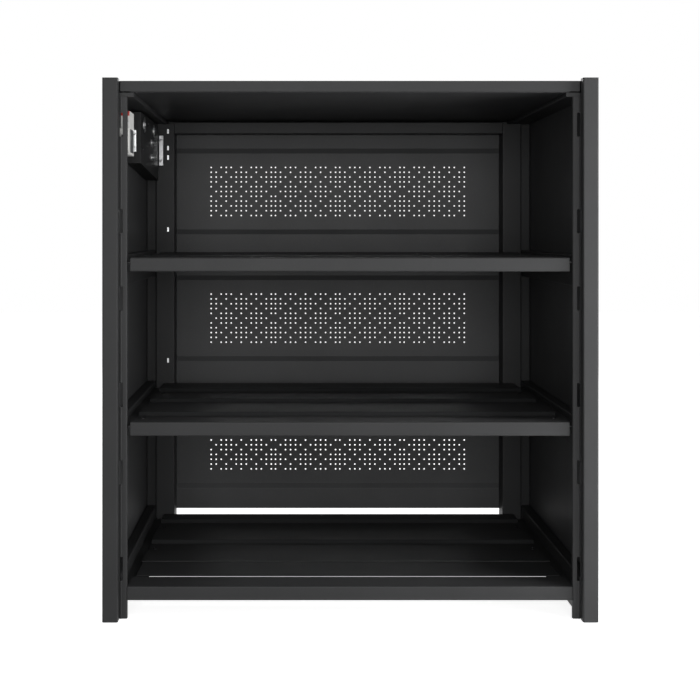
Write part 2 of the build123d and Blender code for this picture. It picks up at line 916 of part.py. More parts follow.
with BuildPart() as breaker_case:
    with BuildSketch(Plane.YZ.offset(case_left)):
        with BuildLine():
            Polyline(
                (case_front, case_bottom),
                (case_front, nose_bottom),
                (nose_front, nose_bottom),
                (nose_front, nose_top),
                (case_front, nose_top),
                (case_front, case_top),
                (case_back, case_top),
                (case_back, case_bottom),
                close=True,
            )
        make_face()
    extrude(amount=breaker_width)
    nose_rims = breaker_case.faces().sort_by(Axis.Y)[0].edges()
    fillet(nose_rims, radius=0.8)
    with Locations((case_left + breaker_width / 2, (brim_front + case_back) / 2, din_centre)):
        Box(
            breaker_width,
            case_back - brim_front + 2 * screw_clearance,
            din_height + 2 * screw_clearance,
            mode=Mode.SUBTRACT,
        )
    with Locations((case_left + breaker_width / 2, toggle_y, toggle_z)):
        Box(
            toggle_width + 2 * toggle_slot_side,
            2 * toggle_back,
            toggle_slot_height,
            mode=Mode.SUBTRACT,
        )
        Cylinder(
            toggle_pin_radius + pivot_clearance,
            toggle_width + 2 * toggle_pin_reach + 1.0,
            rotation=(0, 90, 0),
            mode=Mode.SUBTRACT,
        )
    with Locations(*[facing(x, case_front, terminal_screw_z, FORWARD) for x in terminal_screw_xs]):
        Cylinder(terminal_hole_radius, 2 * terminal_hole_depth, mode=Mode.SUBTRACT)

with BuildPart() as breaker_terminal_screws:
    hole_floor = case_front + terminal_hole_depth
    with Locations(*[facing(x, hole_floor, terminal_screw_z, FORWARD) for x in terminal_screw_xs]):
        Cylinder(terminal_hole_radius - screw_clearance, 3.0, align=(Align.CENTER, Align.CENTER, Align.MIN))
        with Locations((0, 0, 3.0)):
            Box(4.4, 0.9, 1.6, mode=Mode.SUBTRACT)

with BuildPart() as breaker_marker_strip:
    strip_middle = case_top - strip_height / 2
    with Locations((case_left + breaker_width / 2, case_front - strip_thickness / 2, strip_middle)):
        Box(breaker_width - 0.6, strip_thickness, strip_height - 0.4)

with BuildPart() as breaker_side_insert:
    insert_middle = (case_front + back(din_front)) / 2
    with Locations((case_left + breaker_width + insert_thickness / 2, insert_middle, toggle_z)):
        Box(insert_thickness, 0.8 * (back(din_front) - case_front), nose_height)

with BuildPart() as breaker_toggle:
    with BuildSketch(Plane.YZ.offset(toggle_left)):
        with Locations(Location((toggle_y, toggle_z), 180 - toggle_tilt)):
            Circle(toggle_radius)
            with Locations((toggle_reach / 2, 0)):
                RectangleRounded(toggle_reach, toggle_thickness, 1.2)
    extrude(amount=toggle_width)
    with Locations((toggle_left + toggle_width / 2, toggle_y, toggle_z)):
        Cylinder(toggle_pin_radius, toggle_width + 2 * toggle_pin_reach, rotation=(0, 90, 0))

# Terminal plate: it stands off the left wall behind the breaker
plate_outer_inset = plate_inset - tray_sheet
plate_screw_places = [facing(inset(plate_inset), back(y), down(drop), RIGHT) for y, drop in plate_screw_spots]
stud_places = [facing(inset(plate_inset), back(stud_depth), down(drop), RIGHT) for drop in stud_drops]
large_grommet_place = facing(inset(plate_inset), back(large_hole_depth), down(large_hole_drop), RIGHT)
small_grommet_place = facing(inset(plate_inset), back(small_hole_depth), down(small_hole_drop), RIGHT)

with BuildPart() as terminal_plate:
    plate_front_y = back(plate_front)
    with BuildSketch(Plane.YZ.offset(inset(plate_outer_inset))):
        with BuildLine():
            Polyline(
                (plate_front_y, down(plate_front_drop)),
                (plate_front_y, down(plate_top_drop)),
                (rear_flange, down(plate_top_drop)),
                (rear_flange, down(plate_rear_drop)),
                close=True,
            )
        make_face()
    extrude(amount=tray_sheet)
    with BuildSketch(Plane.YZ.offset(inset(plate_outer_inset))):
        with BuildLine():
            Polyline(
                (plate_front_y, down(plate_front_drop)),
                (plate_front_y, down(plate_front_drop) + tray_sheet),
                (rear_flange, down(plate_rear_drop) + tray_sheet),
                (rear_flange, down(plate_rear_drop)),
                close=True,
            )
        make_face()
    extrude(amount=-(plate_outer_inset - panel_inner_inset))
    with BuildSketch(Plane.XZ.offset(-plate_front_y)):
        with Locations(
            (
                inset((panel_inner_inset + plate_inset) / 2),
                (down(plate_front_drop) + down(plate_top_drop)) / 2,
            )
        ):
            Rectangle(plate_inset - panel_inner_inset, plate_front_drop - plate_top_drop)
    extrude(amount=-tray_sheet)
    with BuildSketch(Plane.XZ.offset(-rear_flange)):
        with Locations(
            (
                inset(plate_outer_inset - plate_rear_flange / 2),
                (down(plate_rear_drop) + down(plate_top_drop)) / 2,
            )
        ):
            Rectangle(plate_rear_flange, plate_rear_drop - plate_top_drop)
    extrude(amount=tray_sheet)
    bore(large_hole_radius, 2 * tray_sheet, [large_grommet_place])
    bore(small_hole_radius, 2 * tray_sheet, [small_grommet_place])
    bore(insulator_sleeve + screw_clearance, 2 * tray_sheet, stud_places)
    bore(m5_radius + screw_clearance, 2 * tray_sheet, plate_screw_places)

with BuildPart() as plate_spacers:
    plate_wall = inset(panel_inner_inset)
    with Locations(*[facing(plate_wall, back(y), down(drop), RIGHT) for y, drop in plate_screw_spots]):
        Cylinder(
            spacer_radius,
            plate_outer_inset - panel_inner_inset,
            align=(Align.CENTER, Align.CENTER, Align.MIN),
        )
    bore(m5_radius + screw_clearance, 22.0, plate_screw_places)

with BuildPart() as plate_screws:
    with Locations(*plate_screw_places):
        add(button_screw(m5_radius, 20.0))


def grommet(place, hole_radius):
    """A plated bushing with a groove that holds the edge of a hole in the terminal plate."""
    with BuildPart() as ring:
        with Locations(place):
            Cylinder(
                hole_radius + grommet_flange,
                tray_sheet + 2 * grommet_flange_thickness,
                align=(Align.CENTER, Align.CENTER, Align.MAX),
            )
        ring_part = ring.part.moved(Location((grommet_flange_thickness, 0, 0)))
    with BuildPart() as grooved:
        add(ring_part)
        fillet(grooved.edges().filter_by(GeomType.CIRCLE), radius=0.6)
        with Locations(place):
            Cylinder(hole_radius - grommet_wall, 20.0, mode=Mode.SUBTRACT)
            with BuildPart(mode=Mode.PRIVATE) as groove:
                Cylinder(
                    hole_radius + 2 * grommet_flange,
                    tray_sheet,
                    align=(Align.CENTER, Align.CENTER, Align.MAX),
                )
                Cylinder(hole_radius - screw_clearance, 20.0, mode=Mode.SUBTRACT)
            add(groove.part, mode=Mode.SUBTRACT)
    return grooved.part


with BuildPart() as large_grommet:
    add(grommet(large_grommet_place, large_hole_radius))

with BuildPart() as small_grommet:
    add(grommet(small_grommet_place, small_hole_radius))

with BuildPart() as stud_insulators:
    with Locations(*stud_places):
        Cylinder(insulator_radius, insulator_flange, align=(Align.CENTER, Align.CENTER, Align.MIN))
        Cylinder(insulator_sleeve, tray_sheet, align=(Align.CENTER, Align.CENTER, Align.MAX))
        with Locations((0, 0, -tray_sheet)):
            Cylinder(insulator_radius, insulator_flange, align=(Align.CENTER, Align.CENTER, Align.MAX))
        Cylinder(stud_radius + screw_clearance, 30.0, mode=Mode.SUBTRACT)

with BuildPart() as stud_washers:
    with Locations(*[place.offset(insulator_flange) for place in stud_places]):
        Cylinder(washer_radius, washer_thickness, align=(Align.CENTER, Align.CENTER, Align.MIN))
        Cylinder(stud_radius + pivot_clearance, 4 * washer_thickness, mode=Mode.SUBTRACT)

with BuildPart() as terminal_studs:
    with Locations(*stud_places):
        with Locations((0, 0, -stud_back)):
            Cylinder(stud_radius, stud_reach + stud_back, align=(Align.CENTER, Align.CENTER, Align.MIN))
    chamfer(terminal_studs.edges().filter_by(GeomType.CIRCLE), length=0.8)

with BuildPart() as stud_nuts:
    with Locations(*[place.offset(stud_reach - stud_nut_height - 0.5) for place in stud_places]):
        add(hex_nut(stud_nut_flats, stud_nut_height, stud_radius + pivot_clearance))
    rear_nut_back = tray_sheet + insulator_flange + stud_nut_height
    with Locations(*[place.offset(-rear_nut_back) for place in stud_places]):
        add(hex_nut(stud_nut_flats, stud_nut_height, stud_radius + pivot_clearance))

# Earth bar and cable clips
with BuildPart() as earth_bar:
    with Locations(
        (
            inset(earth_bar_inset + earth_bar_width / 2),
            rear_flange - earth_bar_thickness / 2,
            down(earth_bar_top_drop + earth_bar_height / 2),
        )
    ):
        Box(earth_bar_width, earth_bar_thickness, earth_bar_height)
    chamfer(earth_bar.edges().filter_by(Axis.Z), length=0.6)
    bore(m4_radius + screw_clearance, 2 * earth_bar_thickness, earth_screw_places)

with BuildPart() as earth_bar_screws:
    with Locations(*earth_screw_places):
        add(button_screw(m4_radius, earth_bar_thickness + frame_sheet + 3.0))

with BuildPart() as cable_clips:
    with Locations(*clip_places):
        Box(clip_width, clip_depth, clip_height, align=(Align.CENTER, Align.MIN, Align.CENTER))
        Box(
            clip_width + 2 * clip_brim,
            clip_proud,
            clip_height + 2 * clip_brim,
            align=(Align.CENTER, Align.MAX, Align.CENTER),
        )

pieces = {
    "left_column": left_column,
    "right_column": right_column,
    "column_caps": column_caps,
    "left_front_post": left_front_post,
    "right_front_post": right_front_post,
    "left_rear_post": left_rear_post,
    "right_rear_post": right_rear_post,
    "left_side_panel": left_side_panel,
    "right_side_panel": right_side_panel,
    "left_upper_rail": left_upper_rail,
    "right_upper_rail": right_upper_rail,
    "rear_top_beam": rear_top_beam,
    "rear_bottom_beam": rear_bottom_beam,
    "ceiling_panel": ceiling_panel,
    "top_panel": top_panel,
    "back_panel": back_panel,
    "floor_front_beam": floor_front_beam,
    "floor_front_plate": floor_front_plate,
    "floor_tray": floor_tray,
    "lower_shelf": lower_shelf,
    "upper_shelf": upper_shelf,
    "left_floor_rail": left_floor_rail,
    "left_lower_shelf_rail": left_lower_shelf_rail,
    "left_upper_shelf_rail": left_upper_shelf_rail,
    "right_floor_rail": right_floor_rail,
    "right_lower_shelf_rail": right_lower_shelf_rail,
    "right_upper_shelf_rail": right_upper_shelf_rail,
    "side_panel_screws": side_panel_screws,
    "top_panel_screws": top_panel_screws,
    "back_panel_screws": back_panel_screws,
    "rail_bolts": rail_bolts,
    "tray_screws": tray_screws,
    "foot_plates": foot_plates,
    "foot_lock_nuts": foot_lock_nuts,
    "breaker_bracket": breaker_bracket,
    "bracket_screws": bracket_screws,
    "din_rail": din_rail,
    "breaker_case": breaker_case,
    "breaker_terminal_screws": breaker_terminal_screws,
    "breaker_marker_strip": breaker_marker_strip,
    "breaker_side_insert": breaker_side_insert,
    "breaker_toggle": breaker_toggle,
    "terminal_plate": terminal_plate,
    "plate_spacers": plate_spacers,
    "plate_screws": plate_screws,
    "large_grommet": large_grommet,
    "small_grommet": small_grommet,
    "stud_insulators": stud_insulators,
    "terminal_studs": terminal_studs,
    "stud_washers": stud_washers,
    "stud_nuts": stud_nuts,
    "earth_bar": earth_bar,
    "earth_bar_screws": earth_bar_screws,
    "cable_clips": cable_clips,
    **foot_parts,
}

os.makedirs("parts", exist_ok=True)
for name, piece in pieces.items():
    piece.part.label = name
    export_step(piece.part, f"parts/{name}.step")
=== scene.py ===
import math

import bmesh
import bpy
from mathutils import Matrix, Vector


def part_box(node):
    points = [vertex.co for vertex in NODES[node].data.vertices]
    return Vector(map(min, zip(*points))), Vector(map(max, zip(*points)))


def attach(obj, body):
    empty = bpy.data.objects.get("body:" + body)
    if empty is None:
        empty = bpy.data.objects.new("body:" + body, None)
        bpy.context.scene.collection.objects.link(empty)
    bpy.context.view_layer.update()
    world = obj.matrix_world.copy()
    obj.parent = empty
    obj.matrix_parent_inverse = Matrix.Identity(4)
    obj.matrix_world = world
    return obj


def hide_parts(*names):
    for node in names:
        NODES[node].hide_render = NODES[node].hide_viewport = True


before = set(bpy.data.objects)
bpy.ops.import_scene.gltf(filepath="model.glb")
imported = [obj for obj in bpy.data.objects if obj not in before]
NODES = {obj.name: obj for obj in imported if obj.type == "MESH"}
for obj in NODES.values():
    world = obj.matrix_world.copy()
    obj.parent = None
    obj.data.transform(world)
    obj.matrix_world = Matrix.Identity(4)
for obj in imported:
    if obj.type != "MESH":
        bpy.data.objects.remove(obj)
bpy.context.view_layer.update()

bl_info = {
    "name": "Battery cabinet finish",
    "version": (1, 0, 0),
    "blender": (4, 5, 0),
    "location": "View3D > Sidebar > Cabinet",
    "description": "Finishes an open battery cabinet and sets its studio",
    "category": "Object",
}

HEAD_WIDTH = 3.8        # of a screw head, in thread radii, as the CAD screws have it
HEAD_RISE = 1.1         # of the same head
SMOOTH_BELOW = 0.6      # edges flatter than this angle are shaded smooth
DOME_SHARE = 0.86       # the dome's width as a share of its flange's
SHOWN_SHANK = 0.003     # length of shank kept under a screw head
RIDGE_SHARE = 0.52      # a thread ridge's radius as a share of the pitch
RIDGE_SUNK = 0.15       # how far the core swallows the ridge, in ridge radii
FLOOR_GLOW = 0.86       # brings the floor up to white where it is lit
SOFT_SKY = 0.16         # strength of the sky that lights the cabinet
FLOOR_HALF = 8.0        # half the floor's width
LAMPS = {
    "front": ((0.0, -4.6, 1.1), (0.0, 0.0, 0.5), (2.6, 1.8), 96.0),
    "right_side": ((0.95, -0.62, 0.5), (-0.2, -0.1, 0.5), (0.4, 1.4), 20.0),
    "overhead": ((0.0, -0.5, 3.0), (0.0, 0.0, 0.6), (2.0, 1.4), 18.0),
    "rear": ((0.0, 3.5, 1.5), (0.0, 0.3, 0.6), (2.2, 1.4), 40.0),
}

WIDE_PANELS = ["left_side_panel", "right_side_panel", "back_panel"]
COATED = [
    "left_column", "right_column", "column_caps", "left_front_post", "right_front_post",
    "left_rear_post", "right_rear_post", "left_upper_rail",
    "right_upper_rail", "rear_top_beam", "rear_bottom_beam", "ceiling_panel", "top_panel",
    "floor_front_beam", "floor_front_plate", "floor_tray", "lower_shelf", "upper_shelf", "left_floor_rail",
    "left_lower_shelf_rail", "left_upper_shelf_rail", "right_floor_rail", "right_lower_shelf_rail",
    "right_upper_shelf_rail", "terminal_plate",
]
BLACK_SCREWS = [
    "side_panel_screws", "top_panel_screws", "back_panel_screws", "rail_bolts", "tray_screws", "plate_screws",
]
PLATED_SCREWS = ["bracket_screws", "earth_bar_screws"]
ZINC_PARTS = [
    "foot_plates", "foot_lock_nuts", "breaker_bracket", "din_rail", "cable_clips",
    "stud_washers", "stud_nuts", "breaker_terminal_screws", "plate_spacers", "large_grommet",
    "small_grommet",
    "left_front_foot", "right_front_foot", "left_rear_foot", "right_rear_foot",
]


class CabinetFinishSettings(bpy.types.PropertyGroup):
    """Colours and surface sizes of the cabinet's finishes."""

    coat_colour: bpy.props.FloatVectorProperty(
        name="Coat", description="Colour of the powder coat", subtype="COLOR", size=3,
        default=(0.0215, 0.0218, 0.0224), min=0.0, max=1.0)
    # a lighter copy of the black coat for the side and back panels: painted brightness that stands in for the
    # light falling on them inside the cabinet
    panel_lightened_colour: bpy.props.FloatVectorProperty(
        name="Panel coat", description="Colour of the coat on the side and back panels",
        subtype="COLOR", size=3,
        default=(0.046, 0.0465, 0.0475), min=0.0, max=1.0)
    coat_roughness: bpy.props.FloatProperty(
        name="Coat roughness", description="Roughness of the powder coat", default=0.46, min=0.0, max=1.0)
    coat_grain: bpy.props.FloatProperty(
        name="Coat grain", description="Distance between the bumps of the powder coat",
        default=0.0011, min=0.0002, max=0.01, unit="LENGTH")
    # over this radius the edges are also painted lighter: partly a painted highlight and partly rubbed wear
    edge_width: bpy.props.FloatProperty(
        name="Edge width", description="Radius of the rounded and slightly worn edges",
        default=0.0009, min=0.0, max=0.005, unit="LENGTH")
    case_colour: bpy.props.FloatVectorProperty(
        name="Breaker case", description="Colour of the breaker's moulded case", subtype="COLOR", size=3,
        default=(0.70, 0.70, 0.68), min=0.0, max=1.0)
    marker_colour: bpy.props.FloatVectorProperty(
        name="Marker strip", description="Colour of the strip across the breaker", subtype="COLOR", size=3,
        default=(0.48, 0.03, 0.02), min=0.0, max=1.0)


class CabinetDetailSettings(bpy.types.PropertyGroup):
    """Shapes of the screws and threads, as shares of their thread radius."""

    head_height: bpy.props.FloatProperty(
        name="Head height", description="Height of a screw head, in thread radii",
        default=1.05, min=0.5, max=1.1)
    flange_height: bpy.props.FloatProperty(
        name="Flange height", description="Thickness of the flange under a screw head, in thread radii",
        default=0.3, min=0.05, max=0.6)
    socket_size: bpy.props.FloatProperty(
        name="Socket size", description="Corner radius of the hexagon socket, in thread radii",
        default=0.72, min=0.3, max=1.2)
    thread_pitch: bpy.props.FloatProperty(
        name="Thread pitch", description="Distance between the turns of the studs' thread",
        default=0.00125, min=0.0005, max=0.003, unit="LENGTH")


class CabinetStageSettings(bpy.types.PropertyGroup):
    """Floor, light and viewpoint."""

    eye: bpy.props.FloatVectorProperty(
        name="Eye", description="Place of the camera", subtype="TRANSLATION", size=3,
        default=(-0.107, -2.525, 0.7514))
    lens: bpy.props.FloatProperty(
        name="Lens", description="Focal length in millimetres", default=59.2, min=10.0)
    shift: bpy.props.FloatVectorProperty(
        name="Shift", description="Sideways and upward shift of the lens", size=2, default=(0.0793, -0.1707))
    lamp_level: bpy.props.FloatProperty(
        name="Lamp level", description="Strength of all the lamps together", default=1.0, min=0.0, max=10.0)


# Materials

def new_material(name):
    """An empty node material with its output, and the tools to fill it."""
    material = bpy.data.materials.new(name)
    material.use_nodes = True
    nodes = material.node_tree.nodes
    nodes.clear()
    output = nodes.new("ShaderNodeOutputMaterial")
    shader = nodes.new("ShaderNodeBsdfPrincipled")
    material.node_tree.links.new(shader.outputs["BSDF"], output.inputs["Surface"])
    return material, material.node_tree, shader


def node(tree, kind, **values):
    """Adds a node and sets its plain attributes."""
    made = tree.nodes.new(kind)
    for key, value in values.items():
        setattr(made, key, value)
    return made


def noise(tree, coords, scale, detail=3.0, roughness=0.5):
    """A noise texture on object coordinates."""
    texture = node(tree, "ShaderNodeTexNoise")
    texture.inputs["Scale"].default_value = scale
    texture.inputs["Detail"].default_value = detail
    texture.inputs["Roughness"].default_value = roughness
    tree.links.new(coords, texture.inputs["Vector"])
    return texture.outputs["Fac"]


def ramp(tree, value, low, high, to_low, to_high):
    """Maps a value from one range to another, clamped."""
    mapped = node(tree, "ShaderNodeMapRange", clamp=True)
    tree.links.new(value, mapped.inputs["Value"])
    mapped.inputs["From Min"].default_value = low
    mapped.inputs["From Max"].default_value = high
    mapped.inputs["To Min"].default_value = to_low
    mapped.inputs["To Max"].default_value = to_high
    return mapped.outputs["Result"]


def blend_colours(tree, factor, first, second):
    """Mixes two colours by a factor. Either colour may be a socket."""
    mix = node(tree, "ShaderNodeMix", data_type="RGBA")
    tree.links.new(factor, mix.inputs["Factor"])
    for socket, colour in ((mix.inputs[6], first), (mix.inputs[7], second)):
        if isinstance(colour, bpy.types.NodeSocket):
            tree.links.new(colour, socket)
        else:
            socket.default_value = (*colour, 1.0)
    return mix.outputs[2]


def scaled(colour, factor):
    """A colour made lighter or darker."""
    return tuple(min(1.0, part * factor) for part in colour)


def mottled(tree, value, colour, dark, light):
    """Varies a colour between a darker and a lighter share of itself."""
    share = ramp(tree, value, 0.35, 0.65, 0.0, 1.0)
    return blend_colours(tree, share, scaled(colour, dark), scaled(colour, light))


def object_coords(tree):
    """The coordinates that every pattern is fixed to."""
    return node(tree, "ShaderNodeTexCoord").outputs["Object"]


def bump(tree, shader, height, strength, distance, normal=None):
    """Adds relief to a shader."""
    relief = node(tree, "ShaderNodeBump")
    relief.inputs["Strength"].default_value = strength
    relief.inputs["Distance"].default_value = distance
    tree.links.new(height, relief.inputs["Height"])
    if normal is not None:
        tree.links.new(normal, relief.inputs["Normal"])
    tree.links.new(relief.outputs["Normal"], shader.inputs["Normal"])


def edge_mask(tree, width):
    """Rounded normals for shading, and a mask that is high along sharp edges."""
    rounded = node(tree, "ShaderNodeBevel", samples=6)
    rounded.inputs["Radius"].default_value = width
    plain = node(tree, "ShaderNodeNewGeometry")
    dot = node(tree, "ShaderNodeVectorMath", operation="DOT_PRODUCT")
    tree.links.new(rounded.outputs["Normal"], dot.inputs[0])
    tree.links.new(plain.outputs["True Normal"], dot.inputs[1])
    mask = ramp(tree, dot.outputs["Value"], 0.80, 0.995, 1.0, 0.0)
    return rounded.outputs["Normal"], mask


def powder_coat(name, colour, roughness, grain, edge_width):
    """Fine-textured powder coat: small rounded bumps, faint cloudiness, and edges painted lighter, partly a
    painted highlight and partly rubbed wear, in patches.
    """
    material, tree, shader = new_material(name)
    coords = object_coords(tree)
    cloud = noise(tree, coords, 9.0, 4.0)
    speck = noise(tree, coords, 0.6 / grain, 2.0, 0.6)
    base = mottled(tree, cloud, colour, 0.95, 1.06)
    base = blend_colours(tree, ramp(tree, speck, 0.60, 0.78, 0.0, 0.5), base, scaled(colour, 2.0))
    # painted highlight and rubbed wear along sharp edges: the coat is mixed in patches towards a copy 3.4
    # times lighter
    normal, mask = edge_mask(tree, edge_width)
    patchy = ramp(tree, noise(tree, coords, 60.0, 3.0), 0.4, 0.7, 0.15, 0.75)
    lit_and_worn = node(tree, "ShaderNodeMath", operation="MULTIPLY")
    tree.links.new(mask, lit_and_worn.inputs[0])
    tree.links.new(patchy, lit_and_worn.inputs[1])
    base = blend_colours(tree, lit_and_worn.outputs["Value"], base, scaled(colour, 3.4))
    tree.links.new(base, shader.inputs["Base Color"])
    smudge = ramp(tree, noise(tree, coords, 5.0, 5.0, 0.65), 0.3, 0.7, roughness - 0.02, roughness + 0.02)
    tree.links.new(smudge, shader.inputs["Roughness"])
    shader.inputs["Specular IOR Level"].default_value = 0.16
    grains = node(tree, "ShaderNodeTexVoronoi", feature="SMOOTH_F1")
    grains.inputs["Scale"].default_value = 1.0 / grain
    tree.links.new(coords, grains.inputs["Vector"])
    bump(tree, shader, grains.outputs["Distance"], 0.35, 0.00006, normal)
    return material


def zinc(name, colour, roughness, brushed=(1.0, 1.0, 1.0)):
    """Zinc-plated steel: bright, with fine drawn lines and slightly blotchy sheen."""
    material, tree, shader = new_material(name)
    coords = object_coords(tree)
    stretch = node(tree, "ShaderNodeMapping")
    stretch.inputs["Scale"].default_value = brushed
    tree.links.new(coords, stretch.inputs["Vector"])
    lines = noise(tree, stretch.outputs["Vector"], 700.0, 3.0)
    blotch = noise(tree, coords, 70.0, 4.0)
    base = mottled(tree, blotch, colour, 0.88, 1.08)
    base = blend_colours(tree, ramp(tree, lines, 0.55, 0.75, 0.0, 0.4), base, scaled(colour, 0.72))
    tree.links.new(base, shader.inputs["Base Color"])
    shader.inputs["Metallic"].default_value = 1.0
    sheen = ramp(tree, blotch, 0.3, 0.7, roughness - 0.06, roughness + 0.1)
    tree.links.new(sheen, shader.inputs["Roughness"])
    normal, _ = edge_mask(tree, 0.0004)
    bump(tree, shader, lines, 0.2, 0.00004, normal)
    return material


def moulded(name, colour, roughness, specular=0.5):
    """Moulded plastic: fine spark-eroded texture, a faint mottle and a painted highlight along its edges."""
    material, tree, shader = new_material(name)
    coords = object_coords(tree)
    mottle = noise(tree, coords, 160.0, 3.0)
    grain = noise(tree, coords, 2600.0, 2.0)
    base = mottled(tree, mottle, colour, 0.94, 1.04)
    normal, mask = edge_mask(tree, 0.0005)
    # painted highlight: the edges are mixed towards a lighter copy of the plastic's colour
    soft = node(tree, "ShaderNodeMath", operation="MULTIPLY")
    soft.inputs[1].default_value = 0.35
    tree.links.new(mask, soft.inputs[0])
    base = blend_colours(tree, soft.outputs["Value"], base, scaled(colour, 1.5))
    tree.links.new(base, shader.inputs["Base Color"])
    sheen = ramp(tree, grain, 0.3, 0.7, roughness - 0.04, roughness + 0.06)
    tree.links.new(sheen, shader.inputs["Roughness"])
    shader.inputs["Specular IOR Level"].default_value = specular
    bump(tree, shader, grain, 0.25, 0.00005, normal)
    return material


def paint_nodes(names, material):
    """Gives CAD nodes a material in place of the plain one they came with."""
    for name in names:
        mesh = NODES[name].data
        mesh.materials.clear()
        mesh.materials.append(material)


class CABINET_OT_coat(bpy.types.Operator):
    """Powder-coats the sheet steel of the cabinet"""

    bl_idname = "cabinet.coat"
    bl_label = "Powder Coat"

    def execute(self, context):
        finish = context.scene.cabinet_finish
        coat = powder_coat("fine_black_powder_coat", tuple(finish.coat_colour), finish.coat_roughness,
                           finish.coat_grain, finish.edge_width)
        paint_nodes(COATED, coat)
        # the side and back panels get a lighter copy of the same black coat, painted brightness for the light
        # they catch inside the cabinet
        lightened_panel_coat = powder_coat("lightened_black_powder_coat", tuple(finish.panel_lightened_colour), finish.coat_roughness,
                                 finish.coat_grain, finish.edge_width)
        paint_nodes(WIDE_PANELS, lightened_panel_coat)
        return {"FINISHED"}


class CABINET_OT_hardware(bpy.types.Operator):
    """Finishes the plated brackets, rail, nuts and feet"""

    bl_idname = "cabinet.hardware"
    bl_label = "Plated Hardware"

    def execute(self, context):
        paint_nodes(ZINC_PARTS, zinc("drawn_zinc_plate", (0.66, 0.67, 0.68), 0.34, (1.0, 0.12, 1.0)))
        paint_nodes(["earth_bar"], zinc("drawn_aluminium", (0.50, 0.505, 0.51), 0.36, (1.0, 1.0, 0.08)))
        return {"FINISHED"}


class CABINET_OT_breaker(bpy.types.Operator):
    """Finishes the breaker and the stud insulators"""

    bl_idname = "cabinet.breaker"
    bl_label = "Breaker and Fittings"

    def execute(self, context):
        finish = context.scene.cabinet_finish
        paint_nodes(["breaker_case"], moulded("white_thermoplastic", tuple(finish.case_colour), 0.42))
        paint_nodes(["breaker_marker_strip"], moulded("red_thermoplastic", tuple(finish.marker_colour), 0.4))
        paint_nodes(["breaker_side_insert"], moulded("dark_grey_thermoplastic", (0.05, 0.052, 0.056), 0.5))
        paint_nodes(["breaker_toggle"], moulded("black_thermoplastic", (0.03, 0.03, 0.032), 0.38))
        paint_nodes(["stud_insulators"], moulded("grey_insulator", (0.17, 0.17, 0.175), 0.5))
        return {"FINISHED"}


# Screws and threads

def screw_seats(name):
    """Reads where each screw of a CAD node sits: its seat, the way its head faces, and its thread radius."""
    shape = bmesh.new()
    shape.from_mesh(NODES[name].data)
    bmesh.ops.remove_doubles(shape, verts=shape.verts, dist=1e-6)
    left = set(shape.verts)
    seats = []
    while left:
        reached = [left.pop()]
        for vertex in reached:
            for edge in vertex.link_edges:
                other = edge.other_vert(vertex)
                if other in left:
                    left.remove(other)
                    reached.append(other)
        places = [vertex.co for vertex in reached]
        low = Vector([min(place[axis] for place in places) for axis in range(3)])
        high = Vector([max(place[axis] for place in places) for axis in range(3)])
        seats.append(screw_seat(places, low, high))
    shape.free()
    return seats


def screw_seat(places, low, high):
    """The seat of one screw, from its box: the two equal sides are the head's width."""
    span = high - low
    along = min(range(3), key=lambda axis: abs(span[axis - 1] - span[axis - 2]))
    mean = sum(place[along] for place in places) / len(places)
    facing = Vector((0.0, 0.0, 0.0))
    facing[along] = 1.0 if mean > (low[along] + high[along]) / 2 else -1.0
    radius = span[along - 1] / HEAD_WIDTH
    seat = (low + high) / 2
    tip = high[along] if facing[along] > 0 else low[along]
    seat[along] = tip - facing[along] * HEAD_RISE * radius
    return seat, facing, radius


class ShapeTree:
    """A Geometry Nodes tree with named inputs, built step by step."""

    def __init__(self, name, inputs):
        self.tree = bpy.data.node_groups.new(name, "GeometryNodeTree")
        face = self.tree.interface
        face.new_socket("Geometry", in_out="INPUT", socket_type="NodeSocketGeometry")
        self.named = {}
        for label, kind in inputs.items():
            self.named[label] = face.new_socket(label, in_out="INPUT", socket_type=kind).identifier
        face.new_socket("Geometry", in_out="OUTPUT", socket_type="NodeSocketGeometry")
        self.source = self.tree.nodes.new("NodeGroupInput")
        self.result = self.tree.nodes.new("NodeGroupOutput")

    def given(self, label):
        """The socket of a named input."""
        return self.source.outputs[label]

    def add(self, kind, links=None, **values):
        """Adds a node. Links may hold sockets or plain values."""
        made = self.tree.nodes.new(kind)
        for key, value in values.items():
            setattr(made, key, value)
        for key, value in (links or {}).items():
            if isinstance(value, bpy.types.NodeSocket):
                self.tree.links.new(value, made.inputs[key])
            else:
                made.inputs[key].default_value = value
        return made

    def maths(self, operation, first, second):
        """One step of arithmetic on two numbers or sockets."""
        return self.add("ShaderNodeMath", {0: first, 1: second}, operation=operation).outputs[0]

    def vector(self, x=0.0, y=0.0, z=0.0):
        """A vector from numbers or sockets."""
        return self.add("ShaderNodeCombineXYZ", {0: x, 1: y, 2: z}).outputs[0]

    def joined(self, *shapes):
        """Several shapes as one."""
        join = self.tree.nodes.new("GeometryNodeJoinGeometry")
        for shape in shapes:
            self.tree.links.new(shape, join.inputs[0])
        return join.outputs[0]

    def finish(self, single):
        """Puts the single shape on every seat, smooths its round faces and sets its material."""
        facing = self.add("GeometryNodeInputNamedAttribute", {"Name": "facing"}, data_type="FLOAT_VECTOR")
        turn = self.add("FunctionNodeAlignRotationToVector", {
            "Vector": facing.outputs["Attribute"]}, axis="Z")
        placed = self.add("GeometryNodeInstanceOnPoints", {
            "Points": self.given("Geometry"), "Instance": single, "Rotation": turn.outputs[0]})
        real = self.add("GeometryNodeRealizeInstances", {"Geometry": placed.outputs[0]})
        angle = self.add("GeometryNodeInputMeshEdgeAngle")
        gentle = self.add("FunctionNodeCompare", {0: angle.outputs["Unsigned Angle"], 1: SMOOTH_BELOW},
                          operation="LESS_THAN")
        smooth = self.add("GeometryNodeSetShadeSmooth", {
            "Geometry": real.outputs[0], "Shade Smooth": gentle.outputs[0]}, domain="EDGE")
        coated = self.add("GeometryNodeSetMaterial", {
            "Geometry": smooth.outputs[0], "Material": self.given("Material")})
        self.tree.links.new(coated.outputs[0], self.result.inputs[0])


